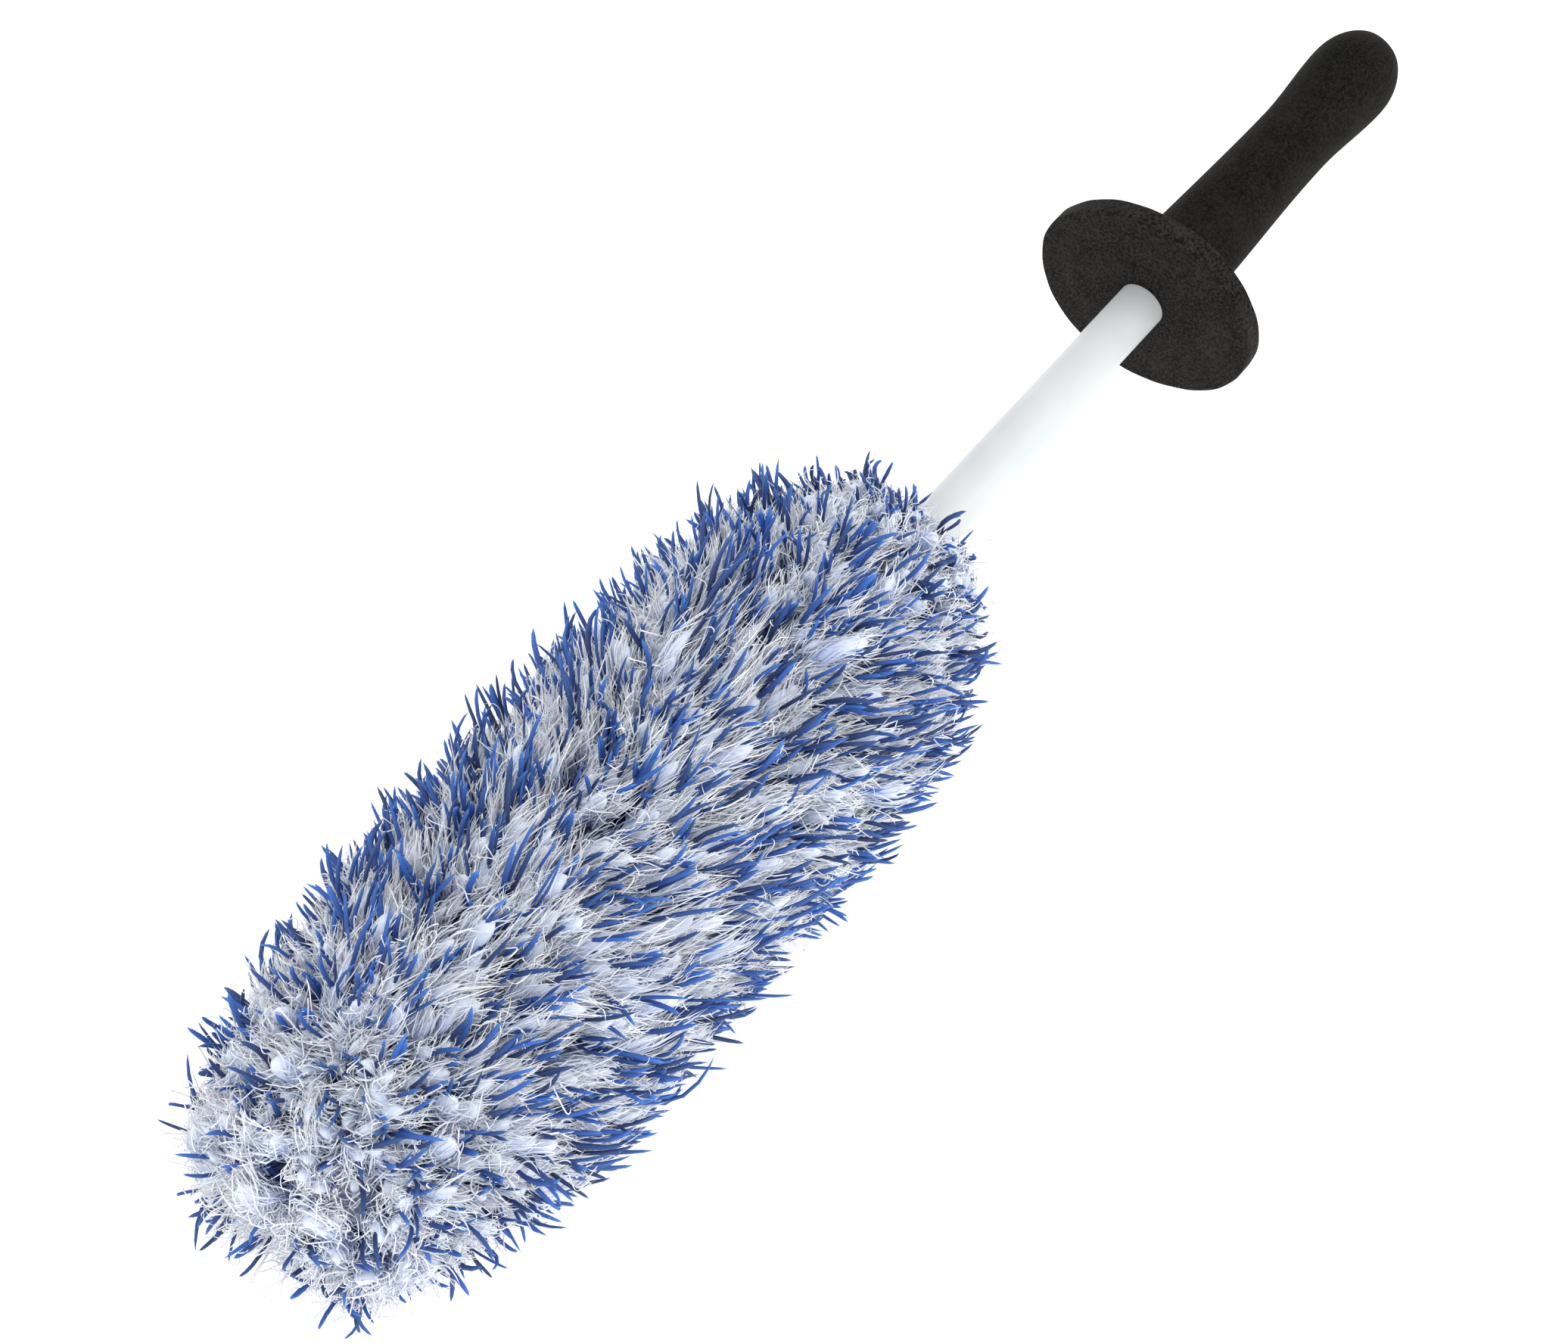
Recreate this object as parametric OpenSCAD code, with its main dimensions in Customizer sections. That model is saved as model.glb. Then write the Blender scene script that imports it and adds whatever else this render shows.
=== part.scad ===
// Wheel brush: a long round stem with a soft foam grip and a foam guard disc at one end,
// and a foam-cored head in a slip-on long-pile cover at the other.
// The stem lies along X, with the head at +X. The origin is the middle of the grip.

/* [Grip] */
// Length of the foam grip
grip_len = 118; // [80:1:160]
// Diameter of the grip where it meets the guard
grip_front_d = 27; // [24:0.5:36]
// Diameter of the grip at its waist
grip_waist_d = 23.6; // [20:0.5:34]
// Diameter of the grip at its bulb
grip_bulb_d = 27.4; // [24:0.5:40]
// Foam left behind the stem at the bulb end
grip_end_wall = 15; // [8:1:30]

/* [Guard] */
// Diameter of the guard disc
guard_d = 68; // [50:1:110]
// Thickness of the guard disc
guard_t = 6; // [5:0.5:12]

/* [Stem] */
// Diameter of the stem
stem_d = 14; // [8:0.5:17]
// Bare length of the stem between the guard and the head's pile
stem_bare_len = 102; // [40:1:250]
// Depth of the glue grooves round the stem
groove_depth = 0.5; // [0.2:0.1:1]

/* [Head core] */
// Length of the foam core on the stem
core_len = 194; // [120:1:300]
// Diameter of the foam core
core_d = 34; // [26:1:50]
// Thickness of the foam pad that covers the stem's end
pad_t = 10; // [5:1:20]
// Space at the neck between the start of the pile and the core
neck_len = 14; // [10:1:24]

/* [Cover] */
// Thickness of the cover's knitted backing
backing_t = 0.8; // [0.5:0.1:2]
// Slack all round between the core and the cover's seam allowances
cover_slack = 0.4; // [0.3:0.1:2]
// Width of the seam allowance inside the cover
seam_w = 6; // [4:0.5:12]
// Thickness of the two layers in a seam allowance
seam_t = 1.2; // [0.8:0.1:3]
// Diameter of the elastic cord in the neck hem
elastic_d = 3; // [2:0.5:4]
// Height of the pile off the backing along the side of the head
pile_h = 29; // [12:1:40]
// Height of the pile off the backing at the tip
tip_pile_h = 20; // [10:1:40]
// Share of its full height that the pile has at the neck
neck_pile_share = 0.12; // [0.05:0.01:0.5]

/* [Hidden] */

// Roundness of turned pieces
$fn = 96;
// Gap that keeps soft pieces of the cover clear of each other and of the core
soft_gap = 0.3;
// Radius of the edges of the guard
guard_edge_r = 2;
// Chamfer on the ends of the stem
stem_chamfer = 1;
// Width and spacing of the glue grooves
groove_w = 1.2;
groove_pitch = 16;
// Distance of the first glue groove from the piece that it holds
groove_inset = 8;
// Rounding of the pad's front edge, which its thickness limits
pad_edge_r = min(6, pad_t - 1);
// Thickness of the gathered cloth at the neck
gather_t = 1.6;
// Steps in the pile's curved outline
pile_steps = 24;

stem_r = stem_d / 2;
core_r = core_d / 2;

// Places along X
grip_x0 = -grip_len / 2;
grip_x1 = grip_len / 2;
stem_x0 = grip_x0 + grip_end_wall;
guard_x1 = grip_x1 + guard_t;
pile_x0 = guard_x1 + stem_bare_len;
core_x0 = pile_x0 + neck_len;
core_x1 = core_x0 + core_len;
pad_x1 = core_x1 + pad_t;

// The cover's pocket, from the core outwards
pocket_r = core_r + cover_slack + seam_t;
backing_r = pocket_r + backing_t;
pocket_x1 = pad_x1 + cover_slack + seam_t;
backing_x1 = pocket_x1 + backing_t;

// A closed outline of [radius, x] points, turned about the X axis
module turned(outline) {
    rotate([0, 90, 0]) rotate_extrude() polygon(outline);
}

// A round bar or tube along X from x0 to x1
module bar(r, x0, x1) {
    translate([x0, 0, 0]) rotate([0, 90, 0]) cylinder(r = r, h = x1 - x0);
}

// Smooth step from 0 to 1 as t goes from 0 to 1
function ease(t) = t * t * (3 - 2 * t);

// The grip's outline: waist and bulb places are shares of its length, as a hand's hollow and heel are
waist_share = 0.6;
bulb_share = 0.86;
grip_steps = 12;
grip_waist_x = grip_x1 - waist_share * grip_len;
grip_bulb_x = grip_x1 - bulb_share * grip_len;
grip_side = [
    for (i = [0 : grip_steps]) let (t = i / grip_steps)
        [grip_front_d / 2 + (grip_waist_d - grip_front_d) / 2 * ease(t),
         grip_x1 + (grip_waist_x - grip_x1) * t],
    for (i = [1 : grip_steps]) let (t = i / grip_steps)
        [grip_waist_d / 2 + (grip_bulb_d - grip_waist_d) / 2 * ease(t),
         grip_waist_x + (grip_bulb_x - grip_waist_x) * t]
];
grip_dome = [
    for (i = [1 : grip_steps]) let (a = 90 * i / grip_steps)
        [grip_bulb_d / 2 * cos(a) * (i < grip_steps ? 1 : 0),
         grip_bulb_x + (grip_x0 - grip_bulb_x) * sin(a)]
];

// Contoured foam grip with a blind bore, glued over the end of the stem
module grip() {
    color("#2b2a29")
    difference() {
        turned(concat([[0, grip_x1]], grip_side, grip_dome));
        bar(stem_r, stem_x0, grip_x1 + 1);
    }
}

// Die-cut foam disc that keeps the hand off the rim
module guard() {
    edge = [
        for (a = [0 : 15 : 90])
            [guard_d / 2 - guard_edge_r * (1 - cos(a)), guard_edge_r * (1 - sin(a))]
    ];
    color("#232222")
    difference() {
        turned(concat(
            [[0, grip_x1]],
            [for (i = [len(edge) - 1 : -1 : 0]) [edge[i][0], grip_x1 + edge[i][1]]],
            [for (p = edge) [p[0], guard_x1 - p[1]]],
            [[0, guard_x1]]
        ));
        bar(stem_r, grip_x1 - 1, guard_x1 + 1);
    }
}

// A glue groove round the stem, centred at x
module groove(x) {
    difference() {
        bar(stem_r + 1, x - groove_w / 2, x + groove_w / 2);
        bar(stem_r - groove_depth, x - groove_w, x + groove_w);
    }
}

// Solid polypropylene rod, from inside the grip to the front end of the core
module stem() {
    color("#dfe0de")
    difference() {
        turned([
            [0, stem_x0],
            [stem_r - stem_chamfer, stem_x0],
            [stem_r, stem_x0 + stem_chamfer],
            [stem_r, core_x1 - stem_chamfer],
            [stem_r - stem_chamfer, core_x1],
            [0, core_x1]
        ]);
        for (x = [stem_x0 + groove_inset : groove_pitch : grip_x1 - groove_inset]) groove(x);
        for (x = [core_x0 + groove_inset : groove_pitch : core_x1 - groove_inset]) groove(x);
    }
}

// Soft foam tube glued along the stem, which carries the cover
module foam_core() {
    color("#c9ccd2")
    difference() {
        bar(core_r, core_x0, core_x1);
        bar(stem_r, core_x0 - 1, core_x1 + 1);
    }
}

// Domed foam pad glued over the end of the stem and the core, so that the stem can't mark a wheel
module tip_pad() {
    color("#c9ccd2")
    turned(concat(
        [[0, core_x1], [core_r, core_x1]],
        [for (a = [0 : 15 : 90])
            [core_r - pad_edge_r * (1 - cos(a)), pad_x1 - pad_edge_r * (1 - sin(a))]],
        [[0, pad_x1]]
    ));
}

// Knitted backing of the cover: one strip rolled into a tube
module backing_tube() {
    color("#cfd4e0")
    difference() {
        bar(backing_r, core_x0, pocket_x1);
        bar(pocket_r, core_x0 - 1, pocket_x1 + 1);
    }
}

// Round end panel of the cover
module backing_tip() {
    color("#cfd4e0") bar(backing_r, pocket_x1, backing_x1);
}

// Seam allowance along the inside of the tube, where the strip's two edges are sewn together
module side_seam() {
    color("#b9c0d0")
    intersection() {
        difference() {
            bar(pocket_r, core_x0, pocket_x1 - seam_t);
            bar(pocket_r - seam_t, core_x0 - 1, pocket_x1);
        }
        translate([core_x0 - 1, -pocket_r - 1, -seam_w / 2])
            cube([pocket_x1 - core_x0 + 2, pocket_r + 1, seam_w]);
    }
}

// Seam allowance round the inside of the end panel
module tip_seam() {
    color("#b9c0d0")
    difference() {
        bar(pocket_r, pocket_x1 - seam_t, pocket_x1);
        bar(pocket_r - seam_w, pocket_x1 - seam_t - 1, pocket_x1 + 1);
    }
}

// Places of the gathered neck: the hem's channel lies on the stem, just inside the start of the pile
elastic_r = elastic_d / 2;
channel_r = elastic_r + gather_t / 2;
neck_ring_r = stem_r + soft_gap + channel_r;
neck_ring_x = pile_x0 + channel_r;

// Gathered neck of the cover: a hem with the elastic in its channel, and the cloth that widens to the tube
module neck_gather() {
    color("#cfd4e0")
    difference() {
        turned([
            [stem_r + soft_gap, neck_ring_x - channel_r],
            [neck_ring_r + channel_r, neck_ring_x - channel_r],
            [backing_r, core_x0 - gather_t],
            [backing_r, core_x0],
            [backing_r - gather_t, core_x0],
            [neck_ring_r + channel_r - gather_t / 2, neck_ring_x + channel_r],
            [stem_r + soft_gap, neck_ring_x + channel_r]
        ]);
        translate([neck_ring_x, 0, 0]) rotate([0, 90, 0])
            rotate_extrude() translate([neck_ring_r, 0]) circle(r = elastic_r);
    }
}

// Elastic cord in the hem, which draws the neck in onto the stem
module neck_elastic() {
    color("#f2f2ee")
    translate([neck_ring_x, 0, 0]) rotate([0, 90, 0])
        rotate_extrude() translate([neck_ring_r, 0]) circle(r = elastic_r);
}

// The pile's outer outline from the neck to the end of the backing, as [radius, x].
// It swells quickly at the neck, is fullest two thirds of the way along, and rounds in to the tip.
pile_len = backing_x1 - pile_x0;
swell_share = 0.22;
full_share = 0.7;
swell_drop = 0.03;
end_drop = 0.44;
function pile_share(t) =
    t < swell_share
        ? neck_pile_share + (1 - swell_drop - neck_pile_share) * sin(90 * t / swell_share)
        : t < full_share
            ? 1 - swell_drop * (1 - ease((t - swell_share) / (full_share - swell_share)))
            : 1 - end_drop * pow((t - full_share) / (1 - full_share), 2);
pile_outline = [
    for (i = [0 : pile_steps]) let (t = i / pile_steps)
        [backing_r + pile_h * pile_share(t), pile_x0 + pile_len * t]
];
shoulder_r = pile_outline[pile_steps][0];

// Long microfibre pile standing on the tube, as one soft body
module pile_side() {
    color("#a9b6d6")
    turned(concat([[backing_r, backing_x1], [backing_r, pile_x0]], pile_outline));
}

// Pile on the end panel, which closes over the tip as a low dome
module pile_tip() {
    color("#d9dce6")
    turned(concat(
        [[0, backing_x1]],
        [for (i = [0 : pile_steps / 2]) let (a = 180 * i / pile_steps)
            [shoulder_r * cos(a) * (i < pile_steps / 2 ? 1 : 0), backing_x1 + tip_pile_h * sin(a)]]
    ));
}

stem();
grip();
guard();
foam_core();
tip_pad();
backing_tube();
backing_tip();
side_seam();
tip_seam();
neck_gather();
neck_elastic();
pile_side();
pile_tip();
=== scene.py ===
import math

import bpy
import numpy as np
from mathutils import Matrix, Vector


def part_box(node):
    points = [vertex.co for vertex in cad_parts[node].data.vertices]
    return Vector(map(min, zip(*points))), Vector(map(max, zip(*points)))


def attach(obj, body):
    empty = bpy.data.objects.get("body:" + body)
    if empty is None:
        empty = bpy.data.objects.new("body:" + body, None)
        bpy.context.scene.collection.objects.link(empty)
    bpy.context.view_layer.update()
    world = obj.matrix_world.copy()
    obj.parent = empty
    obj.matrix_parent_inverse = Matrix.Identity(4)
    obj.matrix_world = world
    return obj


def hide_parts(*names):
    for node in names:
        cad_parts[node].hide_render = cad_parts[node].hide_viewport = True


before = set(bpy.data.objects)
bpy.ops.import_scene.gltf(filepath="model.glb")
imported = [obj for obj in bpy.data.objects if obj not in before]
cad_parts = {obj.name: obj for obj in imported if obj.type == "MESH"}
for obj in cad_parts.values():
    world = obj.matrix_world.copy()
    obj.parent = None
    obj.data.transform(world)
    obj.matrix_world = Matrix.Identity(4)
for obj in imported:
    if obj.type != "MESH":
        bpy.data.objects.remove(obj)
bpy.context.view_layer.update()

MM = 0.001

# ---------------------------------------------------------------------------------------------
# The camera stands above and ahead of the head's tip and looks back along the brush, as someone
# does who is about to pick it up by the grip. The lens is a normal one.
CAMERA_FROM_GUARD = Vector((324.8, 139.9, 453.3)) * MM
CAMERA_ELEVATION = 63.8
CAMERA_AZIMUTH = 129.9
LENS = 45.2

guard_low, guard_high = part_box("guard")
camera_data = bpy.data.cameras.new("camera")
camera_data.lens = LENS
camera_data.sensor_width = 36.0
camera = bpy.data.objects.new("camera", camera_data)
camera.location = Vector((guard_high.x, 0, 0)) + CAMERA_FROM_GUARD
camera.rotation_euler = (math.radians(90 - CAMERA_ELEVATION), 0, math.radians(CAMERA_AZIMUTH))
bpy.context.scene.collection.objects.link(camera)
bpy.context.scene.camera = camera

# ---------------------------------------------------------------------------------------------
# A white table in a light tent: broad soft light from all round, a little stronger from the +Y
# side, where a window stands beside the tent.
FLOOR_Z = -49.5 * MM
FLOOR_SIZE = 6.0
TENT_STRENGTH = 1.15
FLOOR_GLOW = 0.32
AIM = (0.2, 0.0, 0.0)


def linear(code):
    """The linear colour of an sRGB hex code, with alpha 1."""
    channels = [int(code[i:i + 2], 16) / 255 for i in (1, 3, 5)]
    return tuple(c / 12.92 if c <= 0.04045 else ((c + 0.055) / 1.055) ** 2.4 for c in channels) + (1.0,)


def add(tree, kind, settings=None, **inputs):
    """Adds one node. settings are its properties. Each input is named for its socket, or is i and the
    socket's number, and is a value or the socket that feeds it."""
    made = tree.nodes.new(kind)
    for key, value in (settings or {}).items():
        setattr(made, key, value)
    for key, value in inputs.items():
        socket = made.inputs[int(key[1:]) if key[0] == "i" and key[1:].isdigit() else key.replace("_", " ")]
        if isinstance(value, bpy.types.NodeSocket):
            tree.links.new(value, socket)
        else:
            socket.default_value = value
    return made


def new_material(name):
    """An empty material and its node tree."""
    made = bpy.data.materials.new(name)
    made.use_nodes = True
    made.node_tree.nodes.clear()
    return made, made.node_tree


def finish_material(made, tree, surface):
    """Gives the material its surface."""
    out = tree.nodes.new("ShaderNodeOutputMaterial")
    tree.links.new(surface, out.inputs["Surface"])
    return made


def soft_box(name, place, size, watts):
    """A square studio soft box at a place, aimed at the brush."""
    data = bpy.data.lights.new(name, "AREA")
    data.shape = "SQUARE"
    data.size = size
    data.energy = watts
    made = bpy.data.objects.new(name, data)
    made.location = place
    made.rotation_euler = (Vector(AIM) - Vector(place)).to_track_quat("-Z", "Y").to_euler()
    bpy.context.scene.collection.objects.link(made)


world = bpy.data.worlds.new("light tent")
world.use_nodes = True
world.node_tree.nodes["Background"].inputs["Color"].default_value = linear("#ffffff")
world.node_tree.nodes["Background"].inputs["Strength"].default_value = TENT_STRENGTH
bpy.context.scene.world = world
bpy.context.scene.view_settings.view_transform = "Standard"
soft_box("window_side", place=(-0.2, 1.3, 0.8), size=0.8, watts=7.0)
soft_box("overhead", place=(0.5, 0.2, 1.6), size=1.4, watts=2.0)

half = FLOOR_SIZE / 2
floor_corners = [(x, y, FLOOR_Z) for x, y in ((-half, -half), (half, -half), (half, half), (-half, half))]
floor_mesh = bpy.data.meshes.new("table_top")
floor_mesh.from_pydata(floor_corners, [], [(0, 1, 2, 3)])
table_top = bpy.data.objects.new("table_top", floor_mesh)
bpy.context.scene.collection.objects.link(table_top)
# Matt white lacquer with a faint glow of its own, so that the table fades into the tent.
lacquer, tree = new_material("white lacquer table")
shader = add(tree, "ShaderNodeBsdfPrincipled", Base_Color=linear("#f4f4f4"), Roughness=0.7,
             Emission_Color=linear("#ffffff"), Emission_Strength=FLOOR_GLOW)
floor_mesh.materials.append(finish_material(lacquer, tree, shader.outputs["BSDF"]))

# ---------------------------------------------------------------------------------------------
# The stem: a solid rod of natural polypropylene, extruded and cut to length. It is milky, lets a
# little light into its skin, and has a satin surface with faint lines along the draw.
TURNS = 128
stem_low, stem_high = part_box("stem")
stem_r = stem_high.z
STEM_CHAMFER = 1.0 * MM
STEM_ROWS = 60
STEM_ROWS_INSET = 6 * MM


def turned(name, outline, turns, give=None):
    """A closed solid turned about X from rows of (x, radius). The first and last rows are on the axis.
    give(x, radius, angle) returns small changes of x and of radius."""
    verts = [(outline[0][0], 0.0, 0.0)]
    for x, r in outline[1:-1]:
        for a in np.linspace(0, 2 * math.pi, turns, endpoint=False):
            dx, dr = give(x, r, a) if give else (0.0, 0.0)
            verts.append((x + dx, (r + dr) * math.cos(a), (r + dr) * math.sin(a)))
    verts.append((outline[-1][0], 0.0, 0.0))
    rings = len(outline) - 2
    last = len(verts) - 1
    faces = []
    for j in range(turns):
        k = (j + 1) % turns
        faces.append((0, 1 + k, 1 + j))
        for i in range(rings - 1):
            a, b = 1 + i * turns, 1 + (i + 1) * turns
            faces.append((a + j, a + k, b + k, b + j))
        faces.append((last, 1 + (rings - 1) * turns + j, 1 + (rings - 1) * turns + k))
    return new_piece(name, verts, faces)


def new_piece(name, verts, faces):
    """A smooth-shaded object of these corners and faces."""
    mesh = bpy.data.meshes.new(name)
    mesh.from_pydata([tuple(v) for v in verts], [], faces)
    mesh.validate()
    mesh.shade_smooth()
    made = bpy.data.objects.new(name, mesh)
    bpy.context.scene.collection.objects.link(made)
    return made


def fit(piece, body, node, material):
    """Puts a piece in its place on a body, instead of its plain node and its material."""
    piece.data.materials.append(material)
    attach(piece, body)
    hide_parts(node)


polypropylene, tree = new_material("natural polypropylene rod")
place = add(tree, "ShaderNodeTexCoord").outputs["Object"]
drawn = add(tree, "ShaderNodeMapping", Vector=place, Scale=(9.0, 700.0, 700.0)).outputs["Vector"]
lines = add(tree, "ShaderNodeTexNoise", Vector=drawn, Scale=1.0, Detail=3.0)
cloud = add(tree, "ShaderNodeTexNoise", Vector=place, Scale=38.0, Detail=2.0)
milk = add(tree, "ShaderNodeValToRGB", Fac=cloud.outputs["Fac"])
milk.color_ramp.elements[0].position = 0.3
milk.color_ramp.elements[0].color = linear("#c6cacc")
milk.color_ramp.elements[1].position = 0.7
milk.color_ramp.elements[1].color = linear("#d3d6d5")
satin = add(tree, "ShaderNodeMapRange", Value=lines.outputs["Fac"], To_Min=0.34, To_Max=0.46)
skin = add(tree, "ShaderNodeBump", Strength=0.12, Distance=0.1 * MM, Height=lines.outputs["Fac"])
shader = add(
    tree, "ShaderNodeBsdfPrincipled", Base_Color=milk.outputs["Color"], Roughness=satin.outputs["Result"],
    IOR=1.49, Normal=skin.outputs["Normal"], Subsurface_Weight=0.35, Subsurface_Radius=(1.0, 1.0, 1.0),
    Subsurface_Scale=2.5 * MM,
)
finish_material(polypropylene, tree, shader.outputs["BSDF"])
stem_outline = [
    (stem_low.x, 0.0), (stem_low.x, stem_r - STEM_CHAMFER), (stem_low.x + STEM_CHAMFER, stem_r),
    *[(x, stem_r)
      for x in np.linspace(stem_low.x + STEM_ROWS_INSET, stem_high.x - STEM_ROWS_INSET, STEM_ROWS)],
    (stem_high.x - STEM_CHAMFER, stem_r), (stem_high.x, stem_r - STEM_CHAMFER), (stem_high.x, 0.0),
]
stem = turned("stem_rod", stem_outline, TURNS)
fit(stem, "handle", "stem", polypropylene)

# ---------------------------------------------------------------------------------------------
# The grip: black closed-cell EVA foam, moulded to the hand's shape and pushed over the stem with
# glue. Its skin is matt, a touch brown, with a fine grain of cells that catches light. It and the
# other foam pieces are drawn solid, with the stem inside them.
GRIP_RING = 1.2 * MM
FOAM_CELL = 0.8 * MM
FOAM_DEPTH = 0.4 * MM


def outline_of(name):
    """The outer outline of a CAD node, as rows of (x, radius) along the axis, from its own corners."""
    corners = np.array([v.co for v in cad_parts[name].data.vertices], float)
    radius = np.hypot(corners[:, 1], corners[:, 2])
    found = {}
    for x, r in zip(np.round(corners[:, 0], 5), radius):
        found[x] = max(found.get(x, 0.0), r)
    return np.array(sorted(found.items()))


def foam_material(name, dark, light, cell, depth):
    """Closed-cell foam: cells show as a fine grain in the bump and the tone, over a soft mottle. The skin's
    tiny pits trap the light, so it has almost no gloss. cell is the cells' spacing and depth their relief."""
    made, tree = new_material(name)
    place = add(tree, "ShaderNodeTexCoord").outputs["Object"]
    cells = add(tree, "ShaderNodeTexVoronoi", Vector=place, Scale=1 / cell)
    grain = add(tree, "ShaderNodeTexNoise", Vector=place, Scale=0.9 / cell, Detail=5.0, Roughness=0.75)
    mottle = add(tree, "ShaderNodeTexNoise", Vector=place, Scale=110.0, Detail=4.0, Roughness=0.6)
    fine = add(tree, "ShaderNodeMath", {"operation": "MULTIPLY"}, i0=grain.outputs["Fac"], i1=0.82)
    both = add(tree, "ShaderNodeMath", {"operation": "MULTIPLY_ADD"}, i0=mottle.outputs["Fac"], i1=0.18,
               i2=fine.outputs[0])
    tone = add(tree, "ShaderNodeValToRGB", Fac=both.outputs[0])
    tone.color_ramp.elements[0].position = 0.42
    tone.color_ramp.elements[0].color = linear(dark)
    tone.color_ramp.elements[1].position = 0.58
    tone.color_ramp.elements[1].color = linear(light)
    height = add(tree, "ShaderNodeMath", {"operation": "ADD"}, i0=cells.outputs["Distance"],
                 i1=grain.outputs["Fac"])
    bump = add(tree, "ShaderNodeBump", Strength=0.55, Distance=depth, Height=height.outputs[0])
    rough = add(tree, "ShaderNodeMapRange", Value=grain.outputs["Fac"], To_Min=0.6, To_Max=0.95)
    shader = add(
        tree, "ShaderNodeBsdfPrincipled", Base_Color=tone.outputs["Color"], Roughness=rough.outputs["Result"],
        IOR=1.48, Normal=bump.outputs["Normal"], Specular_IOR_Level=0.08,
    )
    return finish_material(made, tree, shader.outputs["BSDF"])


def smooth_outline(rows, step):
    """The same outline with rows a step apart along its run, eased where it turns."""
    x, r = rows[:, 0], rows[:, 1]
    along = np.concatenate([[0], np.cumsum(np.hypot(np.diff(x), np.diff(r)))])
    fine = np.linspace(0, along[-1], int(along[-1] / step))
    xs, rs = np.interp(fine, along, x), np.interp(fine, along, r)
    for _ in range(3):
        xs[1:-1] = (xs[:-2] + 2 * xs[1:-1] + xs[2:]) / 4
        rs[1:-1] = (rs[:-2] + 2 * rs[1:-1] + rs[2:]) / 4
    return list(zip(xs, rs))


def hand_moulded(x, r, a):
    """Moulded foam is a little out of round along its length."""
    return 0.0, 0.12 * MM * math.sin(2 * a + 40 * x) + 0.06 * MM * math.sin(5 * a - 90 * x)


grip_foam = foam_material("moulded EVA foam", "#020202", "#22201e", FOAM_CELL, FOAM_DEPTH)
grip_rows = outline_of("grip")
on_skin = grip_rows[:, 1] > stem_r + 1 * MM
on_skin[0] = True
grip_skin = smooth_outline(grip_rows[on_skin], GRIP_RING)
grip_x1, grip_front_r = grip_rows[-1]
grip_outline = [*grip_skin[:-1], (grip_x1 - 0.4 * MM, grip_front_r), (grip_x1, grip_front_r - 0.4 * MM),
                (grip_x1, stem_r + 0.2 * MM), (grip_x1, 0.0)]
grip = turned("grip_foam", grip_outline, TURNS, hand_moulded)
fit(grip, "handle", "grip", grip_foam)

# ---------------------------------------------------------------------------------------------
# The guard: a disc die-cut from a sheet of the same foam and pushed along the stem to the grip.
# The knife rounded its edge and left it a little out of round, and the soft disc leans slightly.
GUARD_TURNS = 160
GUARD_EDGE = 0.9 * MM
GUARD_LEAN = 2.0 * MM
LEAN_ANGLE = math.radians(131)
GUARD_OVAL = 0.6 * MM
OVAL_ANGLE = math.radians(27)
guard_r = guard_high.z
guard_foam = foam_material("die-cut EVA foam sheet", "#030303", "#302e2c", FOAM_CELL, FOAM_DEPTH)
corner = [math.radians(a) for a in range(0, 91, 10)]
faces_r = np.linspace(stem_r + 0.1 * MM, guard_r - GUARD_EDGE, 16)
guard_outline = [
    (guard_low.x, 0.0),
    *[(guard_low.x, r) for r in faces_r],
    *[(guard_low.x + GUARD_EDGE * (1 - math.cos(a)), guard_r - GUARD_EDGE * (1 - math.sin(a)))
      for a in corner[1:]],
    *[(guard_high.x - GUARD_EDGE * (1 - math.sin(a)), guard_r - GUARD_EDGE * (1 - math.cos(a)))
      for a in corner],
    *[(guard_high.x, r) for r in faces_r[:-1][::-1]],
    (guard_high.x, 0.0),
]


def cut_and_bent(x, r, a):
    """The disc leans where nothing backs it, and its cut edge wanders a little."""
    free = max(0.0, (r - grip_front_r) / (guard_r - grip_front_r))
    edge = max(0.0, (r - 0.8 * guard_r) / (0.2 * guard_r))
    wander = 0.12 * MM * math.sin(7 * a) + 0.06 * MM * math.sin(19 * a)
    lean = GUARD_LEAN * math.cos(a - LEAN_ANGLE) + 0.25 * MM * math.sin(3 * a + 1.0)
    return free * lean, edge * (GUARD_OVAL * math.cos(2 * (a - OVAL_ANGLE)) + wander)


guard = turned("guard_disc", guard_outline, GUARD_TURNS, cut_and_bent)
fit(guard, "handle", "guard", guard_foam)

# ---------------------------------------------------------------------------------------------
# The core: a thick-walled tube of pale polyethylene foam glued along the stem, with a domed pad
# of the same foam over the stem's end. Both are cut from extruded stock, so the skin is smooth.
PAD_EDGE = 6.0 * MM
core_foam = foam_material("pale polyethylene foam", "#b4bac5", "#d6d9de", 0.9 * MM, 0.15 * MM)
core_low, core_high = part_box("foam_core")
core_r = core_high.z
core_outline = [
    (core_low.x, 0.0), (core_low.x, core_r - 1 * MM), (core_low.x + 0.4 * MM, core_r - 0.3 * MM),
    *[(x, core_r) for x in np.linspace(core_low.x + 1 * MM, core_high.x - 1 * MM, 50)],
    (core_high.x - 0.4 * MM, core_r - 0.3 * MM), (core_high.x, core_r - 1 * MM), (core_high.x, 0.0),
]
core = turned("core_foam_tube", core_outline, TURNS,
              lambda x, r, a: (0.0, 0.1 * MM * math.sin(3 * a + 60 * x)))
fit(core, "handle", "foam_core", core_foam)

pad_low, pad_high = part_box("tip_pad")
pad_outline = [
    (pad_low.x, 0.0), (pad_low.x, core_r - 0.6 * MM), (pad_low.x + 0.6 * MM, core_r),
    *[(pad_high.x - PAD_EDGE * (1 - math.sin(a)), core_r - PAD_EDGE * (1 - math.cos(a))) for a in corner],
    (pad_high.x, 0.5 * (core_r - PAD_EDGE)), (pad_high.x, 0.0),
]
pad = turned("core_tip_pad", pad_outline, TURNS)
fit(pad, "handle", "tip_pad", core_foam)

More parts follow.
